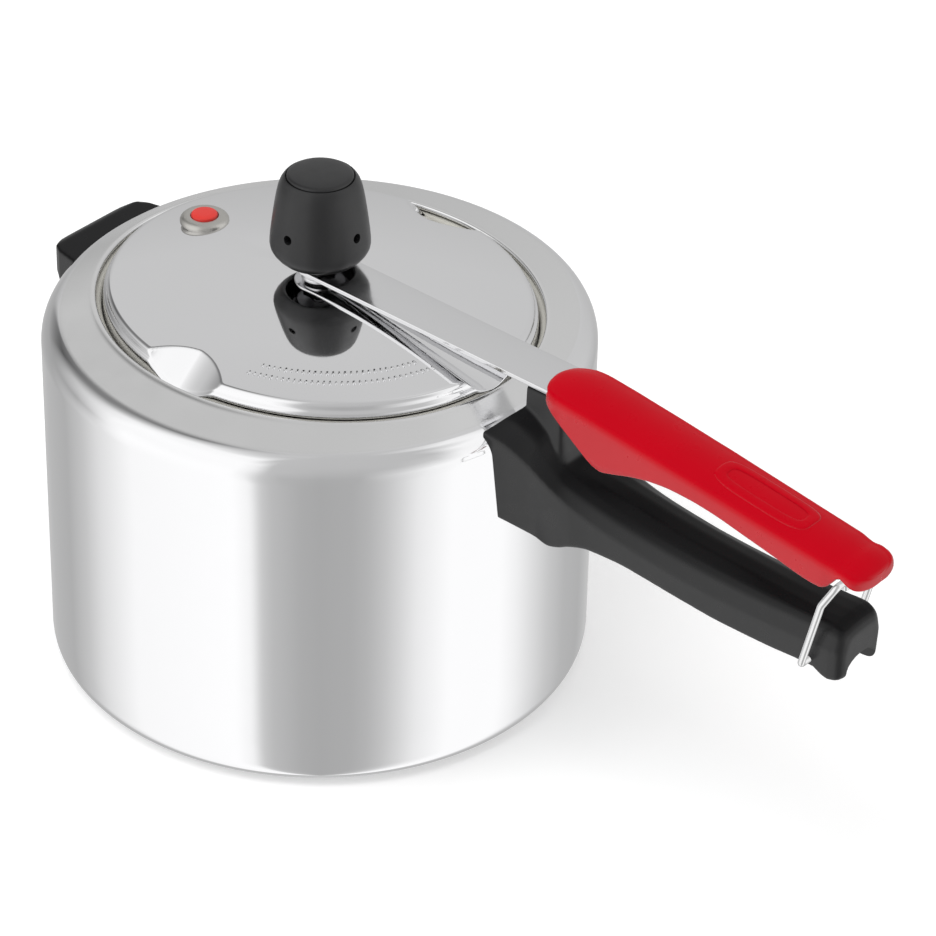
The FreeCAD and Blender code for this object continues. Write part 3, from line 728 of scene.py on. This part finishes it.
def soften(ob, voxel, turns):
    m = ob.modifiers.new("remesh", "REMESH")
    m.mode = "VOXEL"
    m.voxel_size = voxel * mm
    s = ob.modifiers.new("smooth", "SMOOTH")
    s.factor = 0.5
    s.iterations = turns
    applyModifiers(ob)
    shade(ob, True)
    return ob


def makeBlack():
    xs = [92 + 1.5 * i for i in range(96)] + [236, 238, 240.5, 243.0, 244.2, 245.2, 245.9, 246.2]
    xs = sorted(set(x for x in xs if x <= gripRows[-1][0]))
    rows = [blackSection(x) for x in xs]
    cols = len(rows[0])
    faces = gridFaces(len(rows), cols)
    faces += [tuple(range(cols)), tuple(reversed(range((len(rows) - 1) * cols, len(rows) * cols)))]
    ob = addMesh("black_grip", [v for r in rows for v in r], faces, True, 40)
    arch, side = [], lowerGrip["hollowHalfWidth"]  # arched hollow along the underside
    for x in (126, 129, 133, 141, 150, 165, 180, 196, 212, 228, 236, 249):
        zb = spline(gripRows, x, 2)
        d = lowerGrip["hollowDepth"] * (0.25 if x < 128 else (0.75 if x < 131 else 1.0))
        ring = [(x, side, zb - 4), (x, -side, zb - 4), (x, -side, zb + 0.3 * d)]
        for i in range(1, 8):
            a = math.radians(180 - 180 * i / 8)
            ring.append((x, side * math.cos(a), zb + 0.3 * d + 0.7 * d * math.sin(a)))
        ring.append((x, side, zb + 0.3 * d))
        arch.append(ring)
    c = len(arch[0])
    last = (len(arch) - 1) * c
    af = gridFaces(len(arch), c) + [tuple(range(c)), tuple(reversed(range(last, last + c)))]
    hollow = addMesh("hollow", [v for r in arch for v in r], af, True, 40)
    bm = bmesh.new()  # grip and post grown together by the remesh
    bm.from_mesh(ob.data)
    post = postMesh()
    bm.from_mesh(post.data)
    bm.to_mesh(ob.data)
    bm.free()
    bpy.data.objects.remove(post)
    soften(ob, lowerGrip["voxel"], lowerGrip["smoothing"])
    wedge = box("wedge", (111.8, -12, 157.86), (122, 12, 160))
    for v in wedge.data.vertices:
        if v.co.x > 0.115 and v.co.z < 0.159:
            v.co.z -= 1.3 * mm
    boolean(ob, [hollow, potCutter(0.3), wedge])
    px, pz = wire["pivot"]
    boolean(ob, [rod("cross", (px, -20, pz), (px, 20, pz), lowerGrip["wireHoleRadius"], 24),
                 rod("well", (115, 0, 90), (115, 0, 106), 4.6, 32),
                 box("pocket", (98, -8.5, 116), (120.5, 8.5, 121)),
                 box("plate", (98, -13, 114), (104.2, 13, 140))])
    shade(ob, True, 38)
    ob.visible_glossy = False
    return place(ob, "blackPhenolic", "pot", ["lower_handle"])


helper = {"voxel": 0.6, "smoothing": 9}


def makeHelper():
    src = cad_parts["helper_handle"]
    ob = bpy.data.objects.new("helper_grip", src.data.copy())
    bpy.context.scene.collection.objects.link(ob)
    soften(ob, helper["voxel"], helper["smoothing"])
    return place(ob, "blackPhenolic", "pot", ["helper_handle"])


def makeWire():
    side, (hx, hz), (px, pz) = wire["halfWidth"], wire["hook"], wire["pivot"]
    near = [(hx, -7.6, hz - 3.2), (hx, -7.9, hz), (hx, -13.2, hz), (hx - 3.6, -side, hz - 7.6),
            (px, -side, pz)]
    pts = near + [(x, -y, z) for x, y, z in reversed(near)]
    path = rounded(pts, [0, 1.2, 2.4, 4.0, 1.4, 1.4, 4.0, 2.4, 1.2, 0], 8)
    dense = [path[0]]
    for p in path[1:]:
        if (p - dense[-1]).length > 0.02:
            dense.append(p)
    ob = tube("latch_wire", dense, wire["radius"], 24)
    return place(ob, "platedWire", "wire", ["wire_loop"])


weight = {
    "outer": [(12.9, 166.4), (13.2, 165.4), (13.9, 165.0), (14.9, 165.3), (16.2, 166.5), (17.5, 168.2),
              (18.15, 169.5), (18.4, 170.9), (18.35, 172.6), (18.1, 175.5), (17.6, 179.5), (17.0, 184.0),
              (16.4, 188.0), (15.8, 191.4), (15.2, 194.0), (14.5, 195.9), (13.7, 197.2), (13.05, 197.95),
              (12.75, 198.1)],
    "inner": [(12.5, 197.9), (12.5, 196.6), (11, 196.4), (9.9, 196.4), (9.9, 193.3), (9.65, 193.1),
              (9.65, 184.5), (12.6, 184.0), (14.6, 172.0), (13.2, 167.4)],
    "disc": [(1e-5, 193.4), (9.7, 193.4), (9.7, 196.5), (12.15, 196.5), (12.2, 196.7), (12.2, 198.1),
             (12.1, 198.5), (11.7, 198.85), (10.5, 199.15), (7, 199.45), (3, 199.58), (1e-5, 199.6)],
    "holeHeight": 178.8, "holeRadius": 1.8}


def makeWeight():
    ob = lathe("weight_shell", weight["outer"] + weight["inner"], 144, 35, closed=True)
    for ang in (0, 90):
        x, y = math.cos(math.radians(ang)) * 22, math.sin(math.radians(ang)) * 22
        z = weight["holeHeight"]
        boolean(ob, [rod("steam", (-x, -y, z), (x, y, z), weight["holeRadius"], 28)])
    shade(ob, True, 35)
    place(ob, "blackSatin", "weight", ["weight_cover"])
    cap = lathe("weight_disc", weight["disc"], 96, 35)
    return place(cap, "blackSatin", "weight", ["weight_cap"])


# profiles: radius and height above the seat's foot
valve = {
    "at": (-60.5, 3.3), "foot": 151.6,
    "seat": [(2.65, -7), (5.5, -7), (5.5, 1.6), (7.9, 1.6), (8.8, 1.8), (9.2, 2.3), (9.2, 3.1), (8.9, 3.7),
             (8.2, 4.3), (7.4, 4.65), (6.2, 4.8), (5.4, 4.8), (5.2, 4.6), (5.2, 3.25), (2.65, 3.25)],
    "plug": [(1e-5, -9), (2.0, -9), (2.6, -8), (2.6, 3.3), (4.7, 3.35), (4.95, 3.6), (4.95, 5.0), (4.7, 5.5),
             (4.1, 5.8), (2.4, 5.95), (1e-5, 6.0)]}


def makeValve():
    seatRow, plugRow = ([(r, valve["foot"] + z) for r, z in valve[k]] for k in ("seat", "plug"))
    seat = lathe("valve_ring", seatRow, 96, 40, valve["at"], True)
    place(seat, "satinAluminium", "cover", ["valve_seat"])
    plug = lathe("plug_button", plugRow, 64, 35, valve["at"])
    return place(plug, "redRubber", "plug", ["safety_plug"])


# small fixings keep their solids and get a finish
def dressFrame():
    finish = {
        "plainSteel": ["handle_bracket", "lower_handle_screw", "helper_bracket", "helper_screw",
                       "handle_screw_inner", "handle_screw_outer", "vent_back_nut", "valve_nut"],
        "satinAluminium": ["bracket_rivet_left", "bracket_rivet_right", "helper_rivet_left",
                           "helper_rivet_right"],
        "platedWire": ["vent_pipe", "vent_collar", "vent_nut"],
        "darkSteel": ["weight_core"]}
    for look, names in finish.items():
        for name in names:
            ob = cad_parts[name]
            dress(ob, look)
            shade(ob, True, 30)


camera = {"azimuth": -48.35, "elevation": 34.02, "distance": 1588.0, "aimHeight": 71.63, "turn": 1.99885,
          "lens": 162.8, "sensor": 36.0}
floorLook = {"halfSize": 3.0, "white": 0.92, "glow": 0.22}
# soft lights: azimuth, elevation, distance, disc size, power
lamps = {"over": (-110, 78, 2.2, 1.5, 16.0), "left": (-125, 42, 2.2, 0.9, 5.0)}


def setStage():
    s, white = floorLook["halfSize"], floorLook["white"]
    data = bpy.data.meshes.new("floor")
    data.from_pydata([(-s, -s, 0), (s, -s, 0), (s, s, 0), (-s, s, 0)], [], [(0, 1, 2, 3)])
    floor = bpy.data.objects.new("floor", data)
    bpy.context.scene.collection.objects.link(floor)
    m = bpy.data.materials.new("floor")
    m.use_nodes = True
    b = m.node_tree.nodes["Principled BSDF"]
    b.inputs["Base Color"].default_value = (white, white, white, 1)
    b.inputs["Roughness"].default_value = 0.9
    b.inputs["Specular IOR Level"].default_value = 0.1
    b.inputs["Emission Color"].default_value = (1, 1, 1, 1)
    b.inputs["Emission Strength"].default_value = floorLook["glow"]
    data.materials.append(m)
    floor.visible_glossy = False


# light level round the room, one row per height: degrees from the camera's side, level
rings = [
    (-0.56, [(-180, 0.6), (-152, 0.5), (-131, 0.46), (-116, 0.6), (-104, 0.8), (-94, 0.92), (-84, 1.04),
             (-36, 1.1), (-29, 1.0), (-24.5, 0.64), (-20, 0.54), (-8, 0.45), (0, 0.43), (13, 0.45),
             (20, 0.5), (27, 0.6), (34, 0.74), (41, 0.9), (49, 1.0), (56, 1.08), (82, 1.08), (91, 0.97),
             (101, 0.8), (113, 0.62), (127, 0.5), (145, 0.46), (160, 0.54)]),
    (0.0, [(-180, 0.5), (-152, 0.42), (-130, 0.38), (-108, 0.42), (-98, 0.6), (-88, 0.95), (-80, 1.1),
           (-34, 1.1), (-28, 0.95), (-22, 0.6), (-15, 0.49), (0, 0.44), (15, 0.46), (30, 0.74), (44, 1.0),
           (56, 1.08), (95, 1.05), (110, 0.8), (125, 0.62), (150, 0.55)]),
    (0.43, [(-180, 0.62), (-153, 0.62), (-149, 0.16), (-138, 0.1), (-131, 0.3), (-122, 0.55), (-104, 0.8),
            (-90, 1.05), (-32, 1.08), (-26, 0.95), (-20, 0.56), (0, 0.5), (16, 0.5), (32, 0.55), (48, 0.66),
            (58, 1.0), (92, 1.05), (108, 0.85), (122, 0.62), (148, 0.6)]),
    (0.71, [(-180, 0.64), (-153, 0.62), (-149, 0.24), (-130, 0.22), (-120, 0.4), (-104, 0.95), (-90, 1.08),
            (-34, 1.08), (-27, 0.95), (-21, 0.55), (0, 0.53), (36, 0.54), (54, 0.55), (64, 1.0), (92, 1.05),
            (108, 0.85), (122, 0.62), (148, 0.6)]),
    (0.9, [(-180, 0.6), (-156, 0.6), (-150, 0.25), (-138, 0.22), (-120, 0.55), (-105, 0.8), (-92, 1.0),
           (-46, 1.05), (-36, 1.0), (-28, 0.56), (0, 0.54), (70, 0.54), (84, 0.95), (106, 0.95),
           (118, 0.62), (150, 0.7)]),
    (0.99, [(-180, 0.56), (-100, 0.6), (-80, 0.6), (0, 0.54)])]


def setLight():
    w = bpy.data.worlds.new("studio")
    bpy.context.scene.world = w
    w.use_nodes = True
    t = w.node_tree
    t.nodes.clear()
    out = node(t, "ShaderNodeOutputWorld")
    bg = node(t, "ShaderNodeBackground", {"Strength": 1.0})
    t.links.new(bg.outputs[0], out.inputs[0])
    co = node(t, "ShaderNodeTexCoord").outputs["Generated"]
    rot = node(t, "ShaderNodeVectorRotate",
               {"rotation_type": "Z_AXIS", "Angle": -math.radians(camera["azimuth"])}, {"Vector": co})
    xyz = node(t, "ShaderNodeSeparateXYZ", None, {"Vector": rot.outputs[0]})
    ang = node(t, "ShaderNodeMath", {"operation": "ARCTAN2"}, {0: xyz.outputs[1], 1: xyz.outputs[0]})
    pos = node(t, "ShaderNodeMapRange", {"From Min": -math.pi, "From Max": math.pi},
               {"Value": ang.outputs[0]})
    last, lastZ = None, None
    for z, rows in rings:
        ramp = node(t, "ShaderNodeValToRGB", None, {0: pos.outputs[0]})
        cr = ramp.color_ramp
        cr.elements.remove(cr.elements[1])
        cr.elements[0].position = 0.0
        cr.elements[0].color = (rows[0][1],) * 3 + (1,)
        for deg, level in rows[1:] + [(180, rows[0][1])]:
            cr.elements.new((deg + 180) / 360).color = (level, level, level, 1)
        if last is not None:
            f = node(t, "ShaderNodeMapRange", {"From Min": lastZ, "From Max": z}, {"Value": xyz.outputs[2]})
            mix = node(t, "ShaderNodeMix", {"data_type": "RGBA"}, {"Factor": f.outputs[0]})
            t.links.new(last, mix.inputs[6])
            t.links.new(ramp.outputs[0], mix.inputs[7])
            last = mix.outputs[2]
        else:
            last = ramp.outputs[0]
        lastZ = z
    t.links.new(last, bg.inputs[0])
    for name, (az, el, dist, size, power) in lamps.items():
        d = bpy.data.lights.new(name, "AREA")
        d.shape = "DISK"
        d.size = size
        d.energy = power
        ob = bpy.data.objects.new(name, d)
        a, e = math.radians(az), math.radians(el)
        p = Vector((math.cos(a) * math.cos(e), math.sin(a) * math.cos(e), math.sin(e))) * dist
        ob.location = p
        ob.rotation_euler = (-p).to_track_quat("-Z", "Y").to_euler()
        ob.visible_glossy = False
        bpy.context.scene.collection.objects.link(ob)


def setCamera():
    data = bpy.data.cameras.new("camera")
    data.sensor_width = camera["sensor"]
    data.lens = camera["lens"]
    data.clip_end = 20
    ob = bpy.data.objects.new("camera", data)
    bpy.context.scene.collection.objects.link(ob)
    a, e = math.radians(camera["azimuth"]), math.radians(camera["elevation"])
    back = Vector((math.cos(a) * math.cos(e), math.sin(a) * math.cos(e), math.sin(e)))
    right = Vector((-math.sin(a), math.cos(a), 0))
    up = back.cross(right)
    pos = Vector((0, 0, camera["aimHeight"] * mm)) + back * camera["distance"] * mm
    spin = Matrix.Rotation(-math.radians(camera["turn"]), 3, up)
    right, back = spin @ right, spin @ back
    m = Matrix((right, up, back)).transposed().to_4x4()
    m.translation = pos
    ob.matrix_world = m
    bpy.context.scene.camera = ob


bpy.context.scene.view_settings.view_transform = "Standard"
steps = [makePot, makeLid, lidMarks, makeGasket, makeStrip, makeRed, redBadge, makeBlack, makeHelper,
         makeWire, makeWeight, makeValve, dressFrame, setStage, setLight, setCamera]
for step in steps:
    step()
    print("done", step.__name__)
